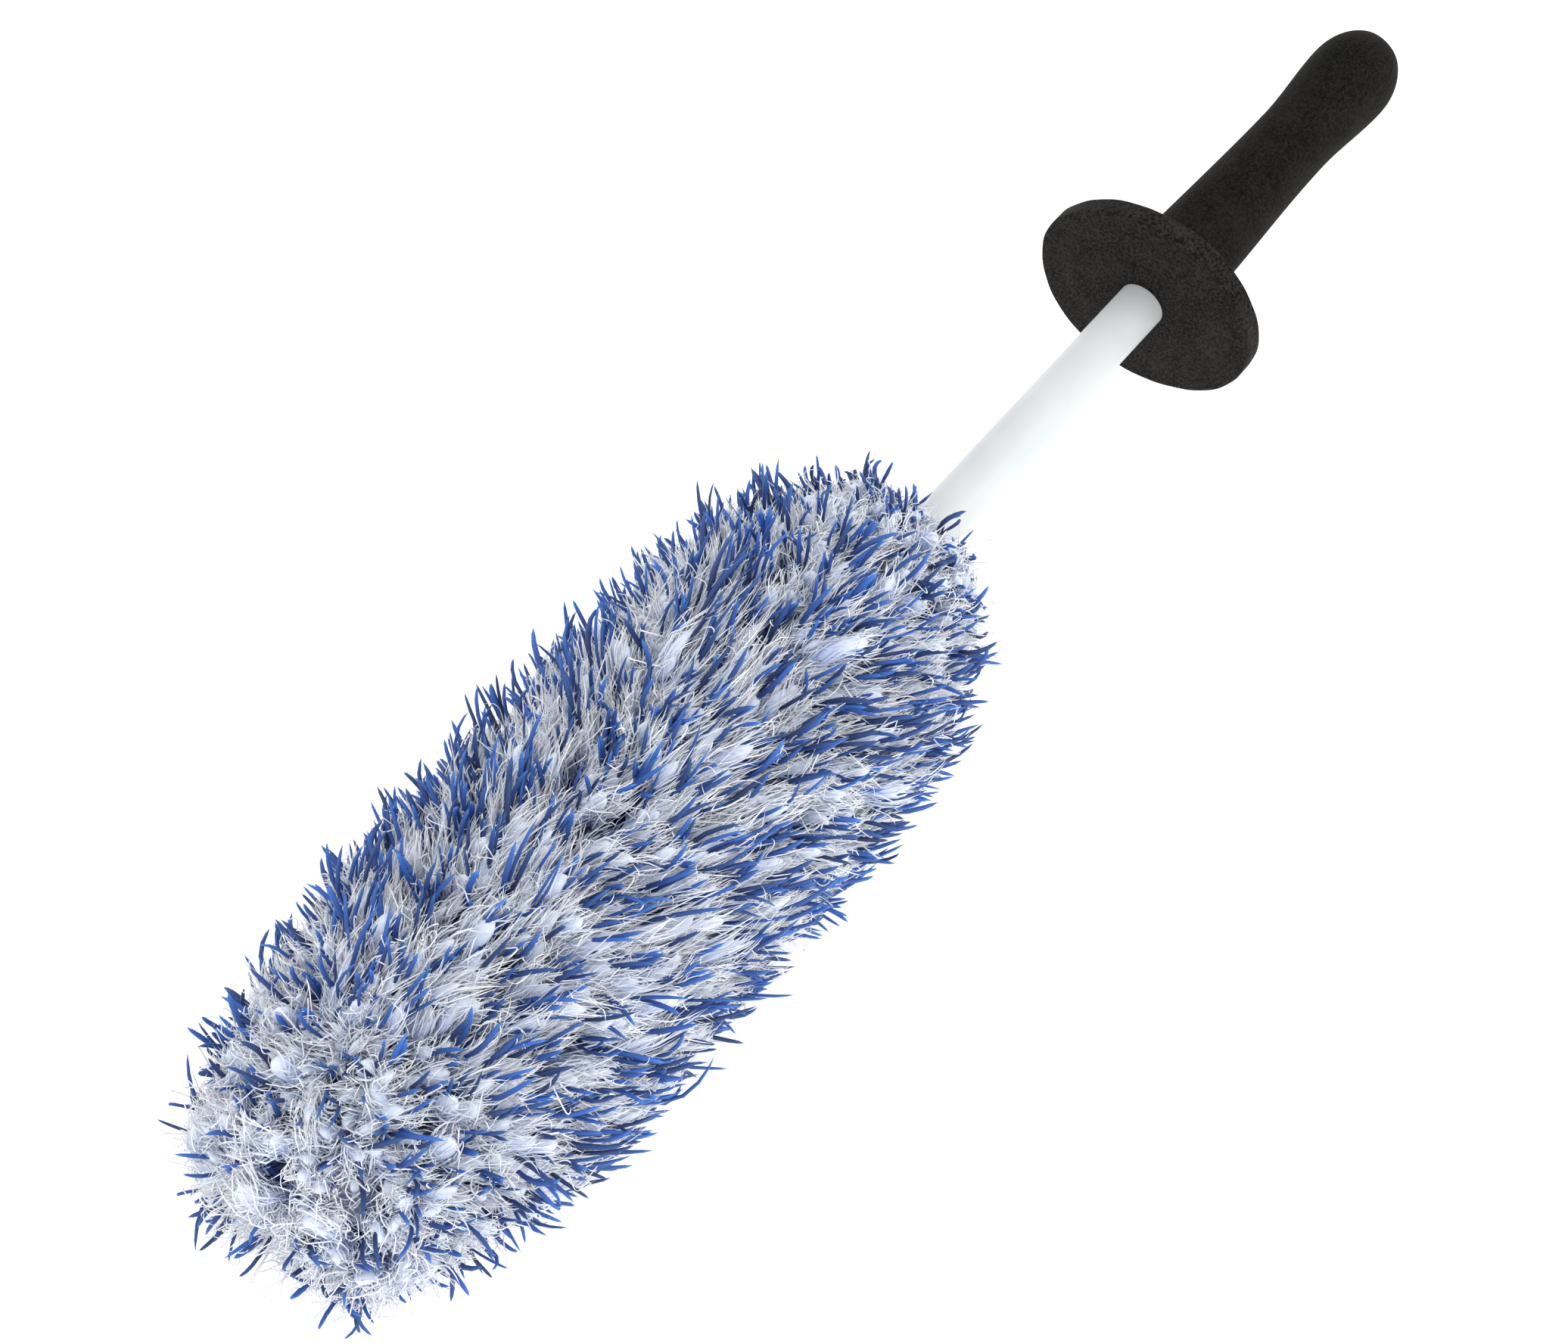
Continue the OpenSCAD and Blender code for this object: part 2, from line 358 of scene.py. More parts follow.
# ---------------------------------------------------------------------------------------------
# The cover's backing: a warp-knitted polyester cloth that carries the pile, cut as one strip,
# rolled and overlocked into a tube, and closed by a round panel at the tip.
WALE = 1.4 * MM
CLOTH_T = 0.8 * MM
tube_low, tube_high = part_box("backing_tube")
panel_low, panel_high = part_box("backing_tip")
tube_r = tube_high.z


def knit_material(name, dark, light):
    """Warp knit: rows of small loops in two directions, WALE apart, with a soft matt sheen."""
    made, tree = new_material(name)
    place = add(tree, "ShaderNodeTexCoord").outputs["Object"]
    wales = add(tree, "ShaderNodeTexWave", {"wave_type": "BANDS", "bands_direction": "X"},
                Vector=place, Scale=0.32 / WALE, Distortion=1.5, Detail=1.0)
    loops = add(tree, "ShaderNodeTexWave", {"wave_type": "BANDS", "bands_direction": "Z"},
                Vector=place, Scale=0.32 / WALE, Distortion=1.5, Detail=1.0)
    weave = add(tree, "ShaderNodeMath", {"operation": "MULTIPLY"}, i0=wales.outputs["Fac"],
                i1=loops.outputs["Fac"])
    tone = add(tree, "ShaderNodeValToRGB", Fac=weave.outputs[0])
    tone.color_ramp.elements[0].color = linear(dark)
    tone.color_ramp.elements[1].color = linear(light)
    bump = add(tree, "ShaderNodeBump", Strength=0.6, Distance=0.3 * MM, Height=weave.outputs[0])
    shader = add(
        tree, "ShaderNodeBsdfPrincipled", Base_Color=tone.outputs["Color"], Roughness=0.9,
        Normal=bump.outputs["Normal"], Sheen_Weight=0.3, Sheen_Roughness=0.5,
    )
    return finish_material(made, tree, shader.outputs["BSDF"])


def looped(name, loop, turns, give, span=None):
    """A ring turned about X from a closed loop of (x, radius), or a strip of it between two angles."""
    low, high = span or (0.0, 2 * math.pi)
    angles = np.linspace(low, high, turns, endpoint=span is not None)
    verts, faces = [], []
    for a in angles:
        for x, r in loop:
            dx, dr = give(x, r, a)
            verts.append((x + dx, (r + dr) * math.cos(a), (r + dr) * math.sin(a)))
    n = len(loop)
    for j in range(turns if span is None else turns - 1):
        k = (j + 1) % turns
        for i in range(n):
            m = (i + 1) % n
            faces.append((j * n + i, j * n + m, k * n + m, k * n + i))
    if span is not None:
        faces.append(tuple(range(n))[::-1])
        faces.append(tuple((turns - 1) * n + i for i in range(n)))
    return new_piece(name, verts, faces)


backing_knit = knit_material("warp-knitted polyester backing", "#94a2c6", "#d9deea")
along_tube = np.linspace(tube_low.x, tube_high.x, 90)
tube_loop = [(x, tube_r) for x in along_tube] + [(x, tube_r - CLOTH_T) for x in along_tube[::-1]]
tube = looped("backing_cloth_tube", tube_loop, TURNS,
              lambda x, r, a: (0.0, 0.08 * MM * math.sin(9 * a + 300 * x)))
fit(tube, "cover", "backing_tube", backing_knit)

across_panel = np.linspace(0.2, 1.0, 9) * (tube_r - 0.2 * MM)
panel_outline = [(panel_low.x, 0.0), *[(panel_low.x, r) for r in across_panel],
                 (panel_low.x + 0.5 * CLOTH_T, tube_r),
                 *[(panel_high.x, r) for r in across_panel[::-1]], (panel_high.x, 0.0)]
panel = turned("backing_end_panel", panel_outline, TURNS)
fit(panel, "cover", "backing_tip", backing_knit)

# ---------------------------------------------------------------------------------------------
# The cover's seams: the strip's two edges, and the tube's end with the panel's rim, are sewn face
# to face and pressed flat inside the cover. Overlock stitches in white thread bind their raw edges.
LAYER_GAP = 0.1 * MM
STITCH_PITCH = 2.6 * MM
STITCH_HALF = 0.16 * MM
TIP_ALLOWANCE = 6.0 * MM
seam_low, seam_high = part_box("side_seam")
ring_low, ring_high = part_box("tip_seam")
pocket_r = ring_high.z
seam_t = ring_high.x - ring_low.x
seam_half = seam_high.z
layer_t = 0.5 * (seam_t - LAYER_GAP)


def unit(v):
    """Each row at length 1."""
    return v / (np.linalg.norm(v, axis=-1, keepdims=True) + 1e-12)


def strand_mesh(name, lines, across, flat, side, tone, sides, material, ridges=None,
                along=None):
    """Closed tapering strands along lines, an array of (strands, points, 3). across is the half width at
    each point but the last, flat the thickness as a share of it, side each strand's broad direction, ridges
    an optional (strands, sides) change of radius that runs the length of the strand, and along an optional
    (strands, points) share of the way from root to end, for the colour."""
    n, k, _ = lines.shape
    run = unit(np.gradient(lines, axis=1))
    broad = unit(side[:, None, :] - (side[:, None, :] * run).sum(2, keepdims=True) * run)
    thin = np.cross(run, broad)
    turn = 2 * math.pi * np.arange(sides) / sides
    width = across[:, :, None] * (np.ones((n, 1, sides)) if ridges is None else ridges[:, None, :])
    ring = (lines[:, :-1, None, :]
            + broad[:, :-1, None, :] * (width * np.cos(turn))[..., None]
            + thin[:, :-1, None, :] * (width * flat * np.sin(turn))[..., None])
    per = (k - 1) * sides + 1
    verts = np.concatenate([ring.reshape(n, -1, 3), lines[:, -1:, :]], axis=1).reshape(-1, 3)
    quads, ends = [], []
    for j in range(sides):
        m = (j + 1) % sides
        for i in range(k - 2):
            quads.append((i * sides + j, i * sides + m, (i + 1) * sides + m, (i + 1) * sides + j))
        ends.append(((k - 2) * sides + j, (k - 2) * sides + m, per - 1))
    foot = tuple(range(sides))[::-1]
    loops = np.concatenate([np.ravel(quads), np.ravel(ends), foot]).astype(np.int64)
    sizes = [4] * len(quads) + [3] * len(ends) + [sides]
    starts = np.concatenate([[0], np.cumsum(sizes)[:-1]])
    loop_verts = (loops[None, :] + per * np.arange(n)[:, None]).ravel()
    loop_starts = (starts[None, :] + len(loops) * np.arange(n)[:, None]).ravel()
    mesh = bpy.data.meshes.new(name)
    mesh.vertices.add(len(verts))
    mesh.vertices.foreach_set("co", verts.astype(np.float32).ravel())
    mesh.loops.add(len(loop_verts))
    mesh.loops.foreach_set("vertex_index", loop_verts.astype(np.int32))
    mesh.polygons.add(len(loop_starts))
    mesh.polygons.foreach_set("loop_start", loop_starts.astype(np.int32))
    mesh.update(calc_edges=True)
    mesh.shade_smooth()
    along = np.tile(np.linspace(0, 1, k), (n, 1)) if along is None else np.clip(along, 0, 1)
    along = np.concatenate([np.repeat(along[:, :-1], sides, axis=1), along[:, -1:]], axis=1).ravel()
    spin = np.tile(np.concatenate([np.tile(np.cos(turn), k - 1), [0.0]]), n)
    shade = np.repeat(tone, per)
    for key, values in (("along", along), ("tone", shade)):
        attribute = mesh.attributes.new(key, "FLOAT", "POINT")
        attribute.data.foreach_set("value", values.astype(np.float32))
    uv = np.stack([0.02 + 0.96 * shade + 0.012 * spin, 0.02 + 0.96 * along], axis=1)
    layer = mesh.uv_layers.new(name="OFBake")
    layer.data.foreach_set("uv", np.clip(uv[loop_verts], 0, 1).astype(np.float32).ravel())
    mesh.materials.append(material)
    made = bpy.data.objects.new(name, mesh)
    bpy.context.scene.collection.objects.link(made)
    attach(made, "cover")
    return made


def fibre_material(name, stops, shift, sheen, roughness):
    """Polyester fibre: the colour runs from root to end through stops of (place, colour). Each strand is a
    little lighter or darker, and the fine round fibres give a soft sheen with no sharp highlight."""
    made, tree = new_material(name)
    along = add(tree, "ShaderNodeAttribute", {"attribute_name": "along"}).outputs["Fac"]
    tone = add(tree, "ShaderNodeAttribute", {"attribute_name": "tone"}).outputs["Fac"]
    ramp = add(tree, "ShaderNodeValToRGB", Fac=along)
    places = ramp.color_ramp.elements
    places[0].position, places[0].color = stops[0][0], linear(stops[0][1])
    places[1].position, places[1].color = stops[-1][0], linear(stops[-1][1])
    for spot, colour in stops[1:-1]:
        places.new(spot).color = linear(colour)
    level = add(tree, "ShaderNodeMapRange", Value=tone, To_Min=1 - shift, To_Max=1 + shift)
    shaded = add(tree, "ShaderNodeHueSaturation", Color=ramp.outputs["Color"], Value=level.outputs["Result"])
    shader = add(
        tree, "ShaderNodeBsdfPrincipled", Base_Color=shaded.outputs["Color"], Roughness=roughness,
        IOR=1.5, Sheen_Weight=sheen, Sheen_Roughness=0.45,
    )
    return finish_material(made, tree, shader.outputs["BSDF"])


def overlock(name, edge, inward, out):
    """Overlock stitches over a cut edge, an array of points along it: each goes over the edge, from the upper
    face to the lower one, at a slant. inward points into the cloth and out away from its lower face."""
    ahead = np.roll(edge, -1, axis=0)[:-1] - edge[:-1]
    edge, inward, out = edge[:-1], inward[:-1], out[:-1]
    lift = 0.5 * seam_t + 0.1 * MM
    lines = np.stack([
        edge + inward * 2.4 * MM + out * lift,
        edge + ahead * 0.3 + inward * 0.9 * MM + out * (lift + 0.1 * MM),
        edge + ahead * 0.5 - inward * 0.15 * MM + out * 0.6 * lift,
        edge + ahead * 0.6 - inward * 0.2 * MM - out * 0.3 * lift,
        edge + ahead * 0.7 + inward * 0.2 * MM - out * 0.6 * lift,
        edge + ahead + inward * 0.5 * MM - out * 0.6 * lift,
    ], axis=1)
    count = len(lines)
    width = np.full((count, 5), STITCH_HALF)
    return strand_mesh(name, lines, width, 1.0, np.tile([0.3, 0.5, 0.8], (count, 1)), np.full(count, 0.5), 6,
                       thread_fibre)


# Sewing thread: matt and the brightest white on the cover.
thread_fibre = fibre_material(
    "spun white polyester thread", [(0.0, "#e6e9f2"), (0.5, "#f6f7fa"), (1.0, "#ffffff")], 0.03, 0.2, 0.8)
# The backing's own cloth, pressed flat and a little darker for it.
seam_knit = knit_material("warp-knitted polyester, pressed", "#8493ba", "#c3cade")
seam_x = np.linspace(seam_low.x, seam_high.x, 80)
seam_span = math.asin(seam_half / pocket_r)
outer_r, inner_r = pocket_r, pocket_r - seam_t
side_layers = [(outer_r, outer_r - layer_t, 1.0), (inner_r + layer_t, inner_r, 0.9)]
side_pieces, tip_pieces = [], []
for index, (r0, r1, reach) in enumerate(side_layers):
    layer_loop = [(x, r0) for x in seam_x] + [(x, r1) for x in seam_x[::-1]]
    span = (math.pi - reach * seam_span, math.pi + seam_span)
    side_pieces.append(looped(f"side_seam_layer_{index + 1}", layer_loop, 14,
                              lambda x, r, a: (0.0, 0.03 * MM * math.sin(500 * x + 4 * a)), span))
    fit(side_pieces[-1], "cover", "side_seam", seam_knit)
edge_x = np.arange(seam_low.x + STITCH_PITCH, seam_high.x - STITCH_PITCH, STITCH_PITCH)
edge_angle = math.pi - seam_span
edge_r = 0.5 * (outer_r + inner_r)
edge = np.stack([edge_x, np.full(len(edge_x), edge_r * math.cos(edge_angle)),
                 np.full(len(edge_x), edge_r * math.sin(edge_angle))], 1)
into_cloth = np.tile([0.0, -math.sin(edge_angle), math.cos(edge_angle)], (len(edge_x), 1))
to_axis = np.tile([0.0, -math.cos(edge_angle), -math.sin(edge_angle)], (len(edge_x), 1))
side_pieces.append(overlock("side_seam_overlock", edge, -into_cloth, to_axis))

ring_r0 = pocket_r - TIP_ALLOWANCE
ring_rows = np.linspace(ring_r0, pocket_r, 6)


def uneven_cut(x, r, a):
    """The allowance's raw inner edge is cut a little unevenly."""
    return 0.0, 0.15 * MM * math.sin(11 * a) * (pocket_r - r) / (pocket_r - ring_r0)


for index, x0 in enumerate((ring_low.x, ring_high.x - layer_t)):
    layer_loop = [(x0, r) for r in ring_rows] + [(x0 + layer_t, r) for r in ring_rows[::-1]]
    tip_pieces.append(looped(f"tip_seam_layer_{index + 1}", layer_loop, TURNS, uneven_cut))
    fit(tip_pieces[-1], "cover", "tip_seam", seam_knit)
edge_turns = np.linspace(0, 2 * math.pi, int(2 * math.pi * ring_r0 / STITCH_PITCH) + 1)
radial = np.stack([np.zeros_like(edge_turns), np.cos(edge_turns), np.sin(edge_turns)], 1)
edge = radial * ring_r0 + np.array([0.5 * (ring_low.x + ring_high.x), 0, 0])
down = np.tile([-1.0, 0.0, 0.0], (len(edge_turns), 1))
tip_pieces.append(overlock("tip_seam_overlock", edge, radial, down))

# ---------------------------------------------------------------------------------------------
# The neck: the cover's open end is hemmed round an elastic cord, which gathers the knitted cloth
# into pleats and holds it on the stem. The cord has a braided white polyester cover.
PLEATS = 26
PLEAT_DEPTH = 1.5 * MM
PLEAT_TURNS = 16 * PLEATS
ELASTIC_R = 1.5 * MM
HEM_T = 0.7 * MM
CONE_START = math.radians(55)
HEM_END = 2 * math.pi - math.radians(20)
gather_low, gather_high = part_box("neck_gather")
elastic_low, elastic_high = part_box("neck_elastic")
cord_x = 0.5 * (elastic_low.x + elastic_high.x)
cord_ring = elastic_high.z - ELASTIC_R
hem_r = cord_x - gather_low.x


def pleated(x, r, a):
    """The gathered cloth stands in pleats, deepest halfway along and gone where the tube starts."""
    share = np.clip((gather_high.x - x) / (gather_high.x - cord_x), 0, 1)
    deep = PLEAT_DEPTH * math.sin(math.pi * min(1.0, share)) ** 0.8 + 0.3 * MM * share
    wave = math.sin(PLEATS * a + 0.6 * math.sin(5 * a))
    return 0.0, deep * wave * (1.0 if x > cord_x else 0.6) * (1.0 if r > cord_ring else 0.15)


def hem_arc(radius, first, last):
    """Points round the cord's section, at a radius from its middle."""
    angles = np.linspace(first, last, 18)
    return [(cord_x + radius * math.cos(a), cord_ring + radius * math.sin(a)) for a in angles]


cone_top = (cord_x + hem_r * math.cos(CONE_START), cord_ring + hem_r * math.sin(CONE_START))
cone_rows = np.linspace(1, 0, 12)
cone_outer = [(cone_top[0] + (tube_low.x - cone_top[0]) * t, cone_top[1] + (tube_r - cone_top[1]) * t ** 1.2)
              for t in cone_rows[:-1]]
neck_loop = [
    *cone_outer,
    *hem_arc(hem_r, CONE_START, HEM_END),
    *hem_arc(hem_r - HEM_T, HEM_END, CONE_START),
    *[(x + 0.25 * MM, r - CLOTH_T) for x, r in cone_outer[::-1]],
]
gather = looped("neck_gathered_cloth", neck_loop, PLEAT_TURNS, pleated)
fit(gather, "cover", "neck_gather", backing_knit)

# The braid: slanting off-white yarns that stand up from the cord, with a faint sheen.
braid, tree = new_material("braided polyester elastic cover")
place = add(tree, "ShaderNodeTexCoord").outputs["Object"]
yarns = add(tree, "ShaderNodeTexWave", {"wave_type": "BANDS", "bands_direction": "DIAGONAL"},
            Vector=place, Scale=0.32 / (0.9 * MM), Distortion=0.6)
tone = add(tree, "ShaderNodeValToRGB", Fac=yarns.outputs["Fac"])
tone.color_ramp.elements[0].color = linear("#c9cac6")
tone.color_ramp.elements[1].color = linear("#f2f2ee")
bump = add(tree, "ShaderNodeBump", Strength=0.7, Distance=0.2 * MM, Height=yarns.outputs["Fac"])
shader = add(tree, "ShaderNodeBsdfPrincipled", Base_Color=tone.outputs["Color"], Roughness=0.75,
             Normal=bump.outputs["Normal"], Sheen_Weight=0.2)
finish_material(braid, tree, shader.outputs["BSDF"])
cord_loop = hem_arc(ELASTIC_R, 0, 2 * math.pi)[:-1]
elastic = looped("neck_elastic_cord", cord_loop, TURNS,
                 lambda x, r, a: (0.0, 0.05 * MM * math.sin(40 * a + 2000 * x)))
fit(elastic, "cover", "neck_elastic", braid)

# ---------------------------------------------------------------------------------------------
# The pile: split microfibre looped through the backing and cut. The white yarns have opened into
# soft tufts of fine crossing fibres, narrow at the root and broad and feathered at the end. The
# blue yarns stay closed as smooth tapering strands, alone or in small groups between the tufts, and
# loose white thread ends curl out. All of it leans back to the grip, and is whiter at the tip.
rng = np.random.default_rng(77)
side_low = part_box("pile_side")[0]
tip_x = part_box("pile_tip")[1].x
TUFT_ROW = 5.3 * MM
TUFT_ACROSS = 6.3 * MM
NECK_INSET = 7.0 * MM
SAG = 2.0 * MM
TIP_SAG = 3.5 * MM
SAG_RUN = 75 * MM
NOSE_START = 46 * MM
NOSE_RUN = 44 * MM
WHITE_RUN = 30 * MM
SETTLE_FROM = 9 * MM
SETTLE_CLEAR = 0.6 * MM

# How far strands lean to the grip, in degrees, and round the brush, as a share, by the angle round it.
LEAN_AT = [-180, -90, 0, 90, 130, 180]
LEAN = [20, 30, 34, 31, 22, 20]
NOSE_LEAN = 16
ASIDE_AT = [-180, -90, 0, 30, 60, 95, 125, 150, 180]
ASIDE = [-0.1, 0, 0.12, 0.36, 0.4, 0.26, 0.05, -0.1, -0.1]

pile_start = [side_low.x + 1.5 * MM, stem_r + 1.5 * MM]
pile_profile = np.vstack([pile_start, outline_of("pile_side"), outline_of("pile_tip")[1:]])
profile_run = np.concatenate([[0], np.cumsum(np.hypot(*np.diff(pile_profile, axis=0).T))])


def around(x, radius, angle, sag=0.0):
    """Points at x, a radius from the axis and an angle round it from +Y, all moved along Y by sag."""
    return np.stack([x, radius * np.cos(angle) + sag, radius * np.sin(angle)], -1)


def wave_field(x, angle, seed):
    """A smooth random field over the brush, about -1 to 1, that neighbouring tufts share."""
    draw = np.random.default_rng(seed)
    total = 0.0
    for _ in range(5):
        per_metre, turns = draw.uniform(60, 210), draw.integers(1, 6)
        total = total + np.sin(per_metre * x + turns * angle + draw.uniform(0, 2 * math.pi))
    return total / 2.2


def grow(row_gap, across, wander):
    """Roots, tips and outward directions of tufts, spaced over the pile's outer shape. The lean to the grip
    and the lean round the brush change from side to side, and part along the side seam."""
    roots, tips, ways = [], [], []
    for run in np.arange(0.3 * row_gap, profile_run[-1], row_gap):
        ring = float(np.interp(run, profile_run, pile_profile[:, 1]))
        count = max(1, int(round(2 * math.pi * ring / across)))
        angle = 2 * math.pi * (np.arange(count) + rng.uniform(-0.4, 0.4, count) + rng.uniform()) / count
        at = np.clip(run + rng.uniform(-0.45, 0.45, count) * row_gap, 0, profile_run[-1])
        x = np.interp(at, profile_run, pile_profile[:, 0])
        reach = np.interp(at, profile_run, pile_profile[:, 1]) * rng.uniform(0.94, 1.0, count)
        turn = (np.degrees(angle) + 180) % 360 - 180
        front = np.clip((x - (tube_high.x - NOSE_START)) / NOSE_RUN, 0, 1)
        lean = np.interp(turn, LEAN_AT, LEAN) * (1 - front) - NOSE_LEAN * front
        lean = np.radians(lean + 10 * wave_field(x, angle, 5) + rng.normal(0, 5, count))
        aside = np.interp(turn, ASIDE_AT, ASIDE) * (1 - front) + 0.12 * wave_field(x, angle, 9)
        aside = aside + rng.normal(0, wander, count) * (1 + 2 * front)
        sag = -SAG - (TIP_SAG - SAG) * np.clip((x - (tip_x - SAG_RUN)) / SAG_RUN, 0, 1) ** 2
        root_x = np.clip(x + (reach - tube_r) * np.tan(lean), tube_low.x - NECK_INSET, tube_high.x - 1 * MM)
        root_r = np.interp(root_x, [tube_low.x - NECK_INSET, tube_low.x], [0.72 * tube_r, tube_r])
        root_angle = angle + aside * np.clip(reach - root_r, 0, None) / np.maximum(reach, 10 * MM)
        on_panel = (reach < 1.75 * tube_r) & (x > tube_high.x)
        root_x = np.where(on_panel, panel_high.x, root_x)
        root_r = np.where(on_panel, 0.56 * reach, root_r)
        tips.append(around(x, reach, angle, sag))
        roots.append(around(root_x, root_r, root_angle))
        ways.append(unit(around(np.where(on_panel, 1.4, 0.0), 1.0, root_angle)))
    return np.concatenate(roots), np.concatenate(tips), np.concatenate(ways)


def curve(start, leave, end, bow, t, hold=0.55):
    """Points at shares t, (curves, points), of curves that leave start along leave and bow to end."""
    t = t[..., None]
    gap = np.linalg.norm(end - start, axis=1)[:, None]
    control = (start + leave * gap * hold)[:, None, :]
    line = (1 - t) ** 2 * start[:, None, :] + 2 * t * (1 - t) * control + t ** 2 * end[:, None, :]
    return line + 4 * t * (1 - t) * t * bow[:, None, :]


def settle(lines):
    """Strands under the brush flatten where they lie on the table."""
    z = lines[..., 2]
    soft = FLOOR_Z + SETTLE_FROM
    give = soft - FLOOR_Z - SETTLE_CLEAR
    low = z < soft
    z[low] = soft - give * np.tanh((soft - z[low]) / give)
    return lines


# White fibre, white all through, with painted shade along it: pale blue deep in the pile, for the shade there
# tinted by light bounced off the blue strands, and clean white at the end.
white_fibre = fibre_material(
    "white split polyester fibre", [(0.2, "#90aae0"), (0.5, "#c6d6f8"), (0.74, "#e6eefc"), (1.0, "#fbfcfd")],
    0.14, 0.25, 0.9)
# Blue strand: dyed blue, each strand its own tone, with painted shade that makes it navy at the root, deep in
# the pile, and mid blue at the end. It is smoother than the white.
blue_fibre = fibre_material(
    "blue dyed polyester strand", [(0.1, "#0d1e48"), (0.5, "#173a7a"), (0.8, "#2455a2"), (1.0, "#3d72b8")],
    0.65, 0.05, 0.55)

roots, tips, ways = grow(TUFT_ROW, TUFT_ACROSS, 0.12)
tuft_count = len(roots)
at_tip = np.clip((tips[:, 0] - (tube_high.x - WHITE_RUN)) / WHITE_RUN, 0, 1)

# The white tufts: a slim body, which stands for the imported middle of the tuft, deep in a coat of fibres.
TUFT_STEPS = np.array([0.0, 0.3, 0.5, 0.62, 0.73, 0.8, 0.84, 0.87])
TUFT_SHAPE = np.array([0.28, 0.5, 0.76, 0.96, 1.0, 0.85, 0.5])
BODY_SHARE = 0.63
TUFT_FLAT = 0.5
TUFT_SIDES = 12
white_tips = roots + (tips - roots) * rng.uniform(0.82, 1.0, tuft_count)[:, None]
heading = unit(white_tips - roots)
tuft_side = unit(np.cross(ways, heading) + rng.normal(0, 0.3, (tuft_count, 3)))
tuft_side = unit(tuft_side - (tuft_side * heading).sum(1, keepdims=True) * heading)
tuft_top = np.cross(heading, tuft_side)
tuft_half = rng.uniform(2.6, 4.2, tuft_count) * MM * (1 + 0.3 * at_tip)
tuft_bow = rng.normal(0, 2.2 * MM, (tuft_count, 3))
steps = np.tile(TUFT_STEPS, (tuft_count, 1))
body_tone = np.clip(0.5 + 0.25 * at_tip + rng.normal(0, 0.16, tuft_count), 0, 1)
body_lines = settle(curve(roots, ways, white_tips, tuft_bow, steps))
body_width = BODY_SHARE * (tuft_half * (1 - 0.2 * at_tip))[:, None] * TUFT_SHAPE
body_ridges = rng.uniform(0.8, 1.15, (tuft_count, TUFT_SIDES))
# Painted shade: the bodies take the colour ramp at 0.9 of their run, so they come out darker and bluer than
# the coat, like the shaded middle of a tuft.
bodies = strand_mesh("pile_tuft_bodies", body_lines, body_width, TUFT_FLAT, tuft_side, body_tone, TUFT_SIDES,
                     white_fibre, ridges=body_ridges, along=0.9 * steps)
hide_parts("pile_side", "pile_tip")

# Real fibres are far finer. Each one here stands for a wisp of them, 0.4 mm across.
COAT = 54
COAT_PIECES = 10
WISP_HALF = 0.2 * MM
WISP_POINTS = 5
of_tuft = np.repeat(np.arange(tuft_count), COAT)
wisps = len(of_tuft)
share = np.linspace(0, 1, WISP_POINTS)[None, :]
begin = rng.uniform(0.22, 0.74, wisps)
stop = np.minimum(begin + rng.uniform(0.25, 0.5, wisps), rng.uniform(0.92, 1.08, wisps))
t = begin[:, None] + (stop - begin)[:, None] * share
lay = rng.uniform(0, 2 * math.pi, wisps)[:, None] + rng.normal(0, 1.5, wisps)[:, None] * share
wide = np.interp(t, [0, 0.3, 0.5, 0.66, 0.8, 0.92, 1.1], [0.28, 0.5, 0.8, 1.0, 1.05, 0.98, 0.7])
wide = wide * (tuft_half[of_tuft] * rng.uniform(0.45, 1.1, wisps))[:, None]
coat = curve(roots[of_tuft], ways[of_tuft], white_tips[of_tuft], tuft_bow[of_tuft], t)
coat = coat + (wide * np.cos(lay))[..., None] * tuft_side[of_tuft][:, None, :]
coat = coat + (wide * TUFT_FLAT * np.sin(lay))[..., None] * tuft_top[of_tuft][:, None, :]
coat = coat + rng.normal(0, 1.2 * MM, (wisps, 1, 3)) * share[..., None] ** 2
coat = settle(coat + rng.normal(0, 0.9 * MM, (wisps, 1, 3)) * np.sin(math.pi * share)[..., None])
wisp_side = rng.normal(0, 1, (wisps, 3))
wisp_width = WISP_HALF * np.array([0.6, 1.0, 1.0, 0.75])[None, :] * rng.uniform(0.7, 1.35, (wisps, 1))
wisp_tone = np.clip(body_tone[of_tuft] + rng.normal(0, 0.28, wisps), 0, 1)
for i, part in enumerate(np.array_split(np.arange(wisps), COAT_PIECES)):
    strand_mesh(f"pile_tuft_fibres_{i + 1}", coat[part], wisp_width[part], 0.8, wisp_side[part],
                wisp_tone[part], 3, white_fibre, along=t[part])

# The blue strands, alone or in groups that start together between two tufts and come out over them.
BLUE_STEPS = np.array([0.0, 0.3, 0.5, 0.64, 0.76, 0.87, 0.95, 1.0])
BLUE_SHAPE = np.array([0.45, 0.6, 0.85, 1.05, 1.1, 1.0, 0.72])
group_size = rng.choice([0, 1, 2, 3, 5], tuft_count, p=[0.16, 0.24, 0.26, 0.2, 0.14])
group_size = np.where(rng.random(tuft_count) < 0.62 * at_tip, 0, group_size)
of_tuft = np.repeat(np.arange(tuft_count), group_size)
blue_count = len(of_tuft)
shift = rng.normal(0, 1, (tuft_count, 1)) * tuft_side * 3.2 * MM + rng.normal(0, 1.2 * MM, (tuft_count, 3))
blue_start = roots[of_tuft] + 0.5 * shift[of_tuft] + rng.normal(0, 0.8 * MM, (blue_count, 3))
blue_reach = rng.uniform(0.93, 1.1, blue_count)[:, None]
blue_end = roots[of_tuft] + (tips - roots)[of_tuft] * blue_reach + shift[of_tuft]
blue_end = blue_end + rng.normal(0, 1.7 * MM, (blue_count, 3)) * (1 + 0.6 * at_tip[of_tuft][:, None])
blue_end = blue_end + ways[of_tuft] * 0.8 * MM
blue_end = blue_end + tuft_side[of_tuft] * (rng.normal(0, 5.0 * MM, blue_count) * at_tip[of_tuft])[:, None]
leaning = (tips - roots) - ((tips - roots) * ways).sum(1, keepdims=True) * ways
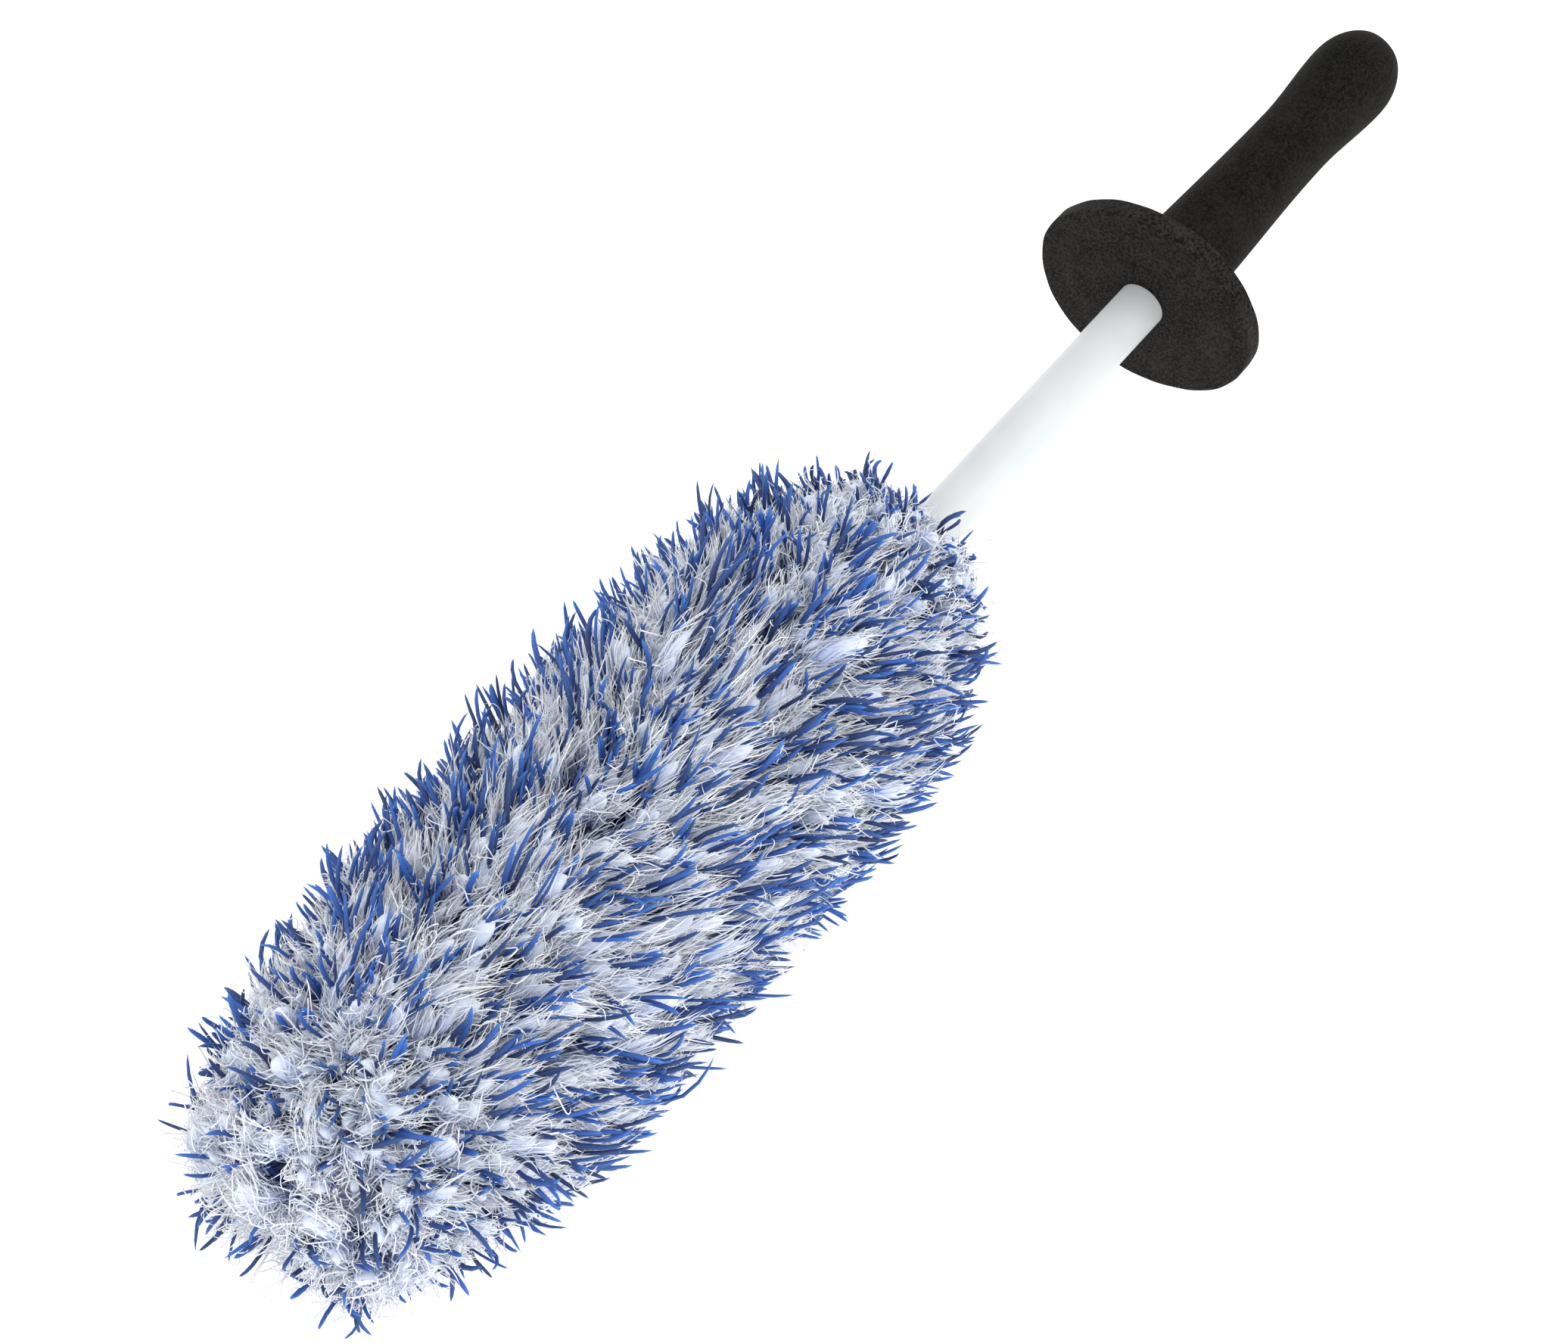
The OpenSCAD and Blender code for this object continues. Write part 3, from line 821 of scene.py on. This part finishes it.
blue_start = blue_start + 0.3 * leaning[of_tuft]
bow_size = np.where(rng.random(blue_count) < 0.15, 3.4, 1.6) * (1 + 0.3 * at_tip[of_tuft])
blue_bow = rng.normal(0, 1, (blue_count, 3)) * bow_size[:, None] * MM
blue_lines = curve(blue_start, ways[of_tuft], blue_end, blue_bow, np.tile(BLUE_STEPS, (blue_count, 1)), 0.6)
kink = np.sin(2 * math.pi * BLUE_STEPS + 0.6)[None, :, None] * BLUE_STEPS[None, :, None]
blue_lines = settle(blue_lines + rng.normal(0, 0.7 * MM, (blue_count, 1, 3)) * kink)
blue_side = unit(tuft_side[of_tuft] + rng.normal(0, 0.5, (blue_count, 3)))
blue_width = rng.uniform(0.4, 0.72, (blue_count, 1)) * MM * BLUE_SHAPE
blue_tone = rng.beta(1.5, 1.7, blue_count)
blue = strand_mesh("pile_blue_strands", blue_lines, blue_width, 0.75, blue_side, blue_tone, 6, blue_fibre)
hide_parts("pile_side")

# The loose thread ends, which curl over the tufts.
THREAD_POINTS = 10
of_tuft = np.repeat(np.arange(tuft_count), rng.poisson(1.6 + 1.0 * at_tip))
thread_count = len(of_tuft)
direction = unit((tips - roots)[of_tuft])
thread_start = roots[of_tuft] + (tips - roots)[of_tuft] * rng.uniform(0.6, 0.85, thread_count)[:, None]
thread_start = thread_start + tuft_side[of_tuft] * rng.normal(0, 2.6 * MM, (thread_count, 1))
thread_start = thread_start + ways[of_tuft] * 1.2 * MM
thread_way = unit(direction + rng.normal(0, 0.6, (thread_count, 3)))
thread_long = rng.uniform(4, 9, thread_count)[:, None] * MM
thread_curl = unit(rng.normal(0, 1, (thread_count, 3))) * thread_long
thread_curl = thread_curl * rng.uniform(0.1, 0.9, (thread_count, 1))
thread_lines = curve(thread_start, thread_way, thread_start + thread_way * thread_long, thread_curl,
                     np.tile(np.linspace(0, 1, THREAD_POINTS), (thread_count, 1)))
thread_width = rng.uniform(0.13, 0.21, (thread_count, 1)) * MM * np.array([1.0] * 7 + [0.9, 0.75])[None, :]
thread_side = unit(rng.normal(0, 1, (thread_count, 3)))
thread_tone = rng.uniform(0, 1, thread_count)
strand_mesh("pile_thread_ends", settle(thread_lines), thread_width, 1.0, thread_side, thread_tone, 3,
            thread_fibre)
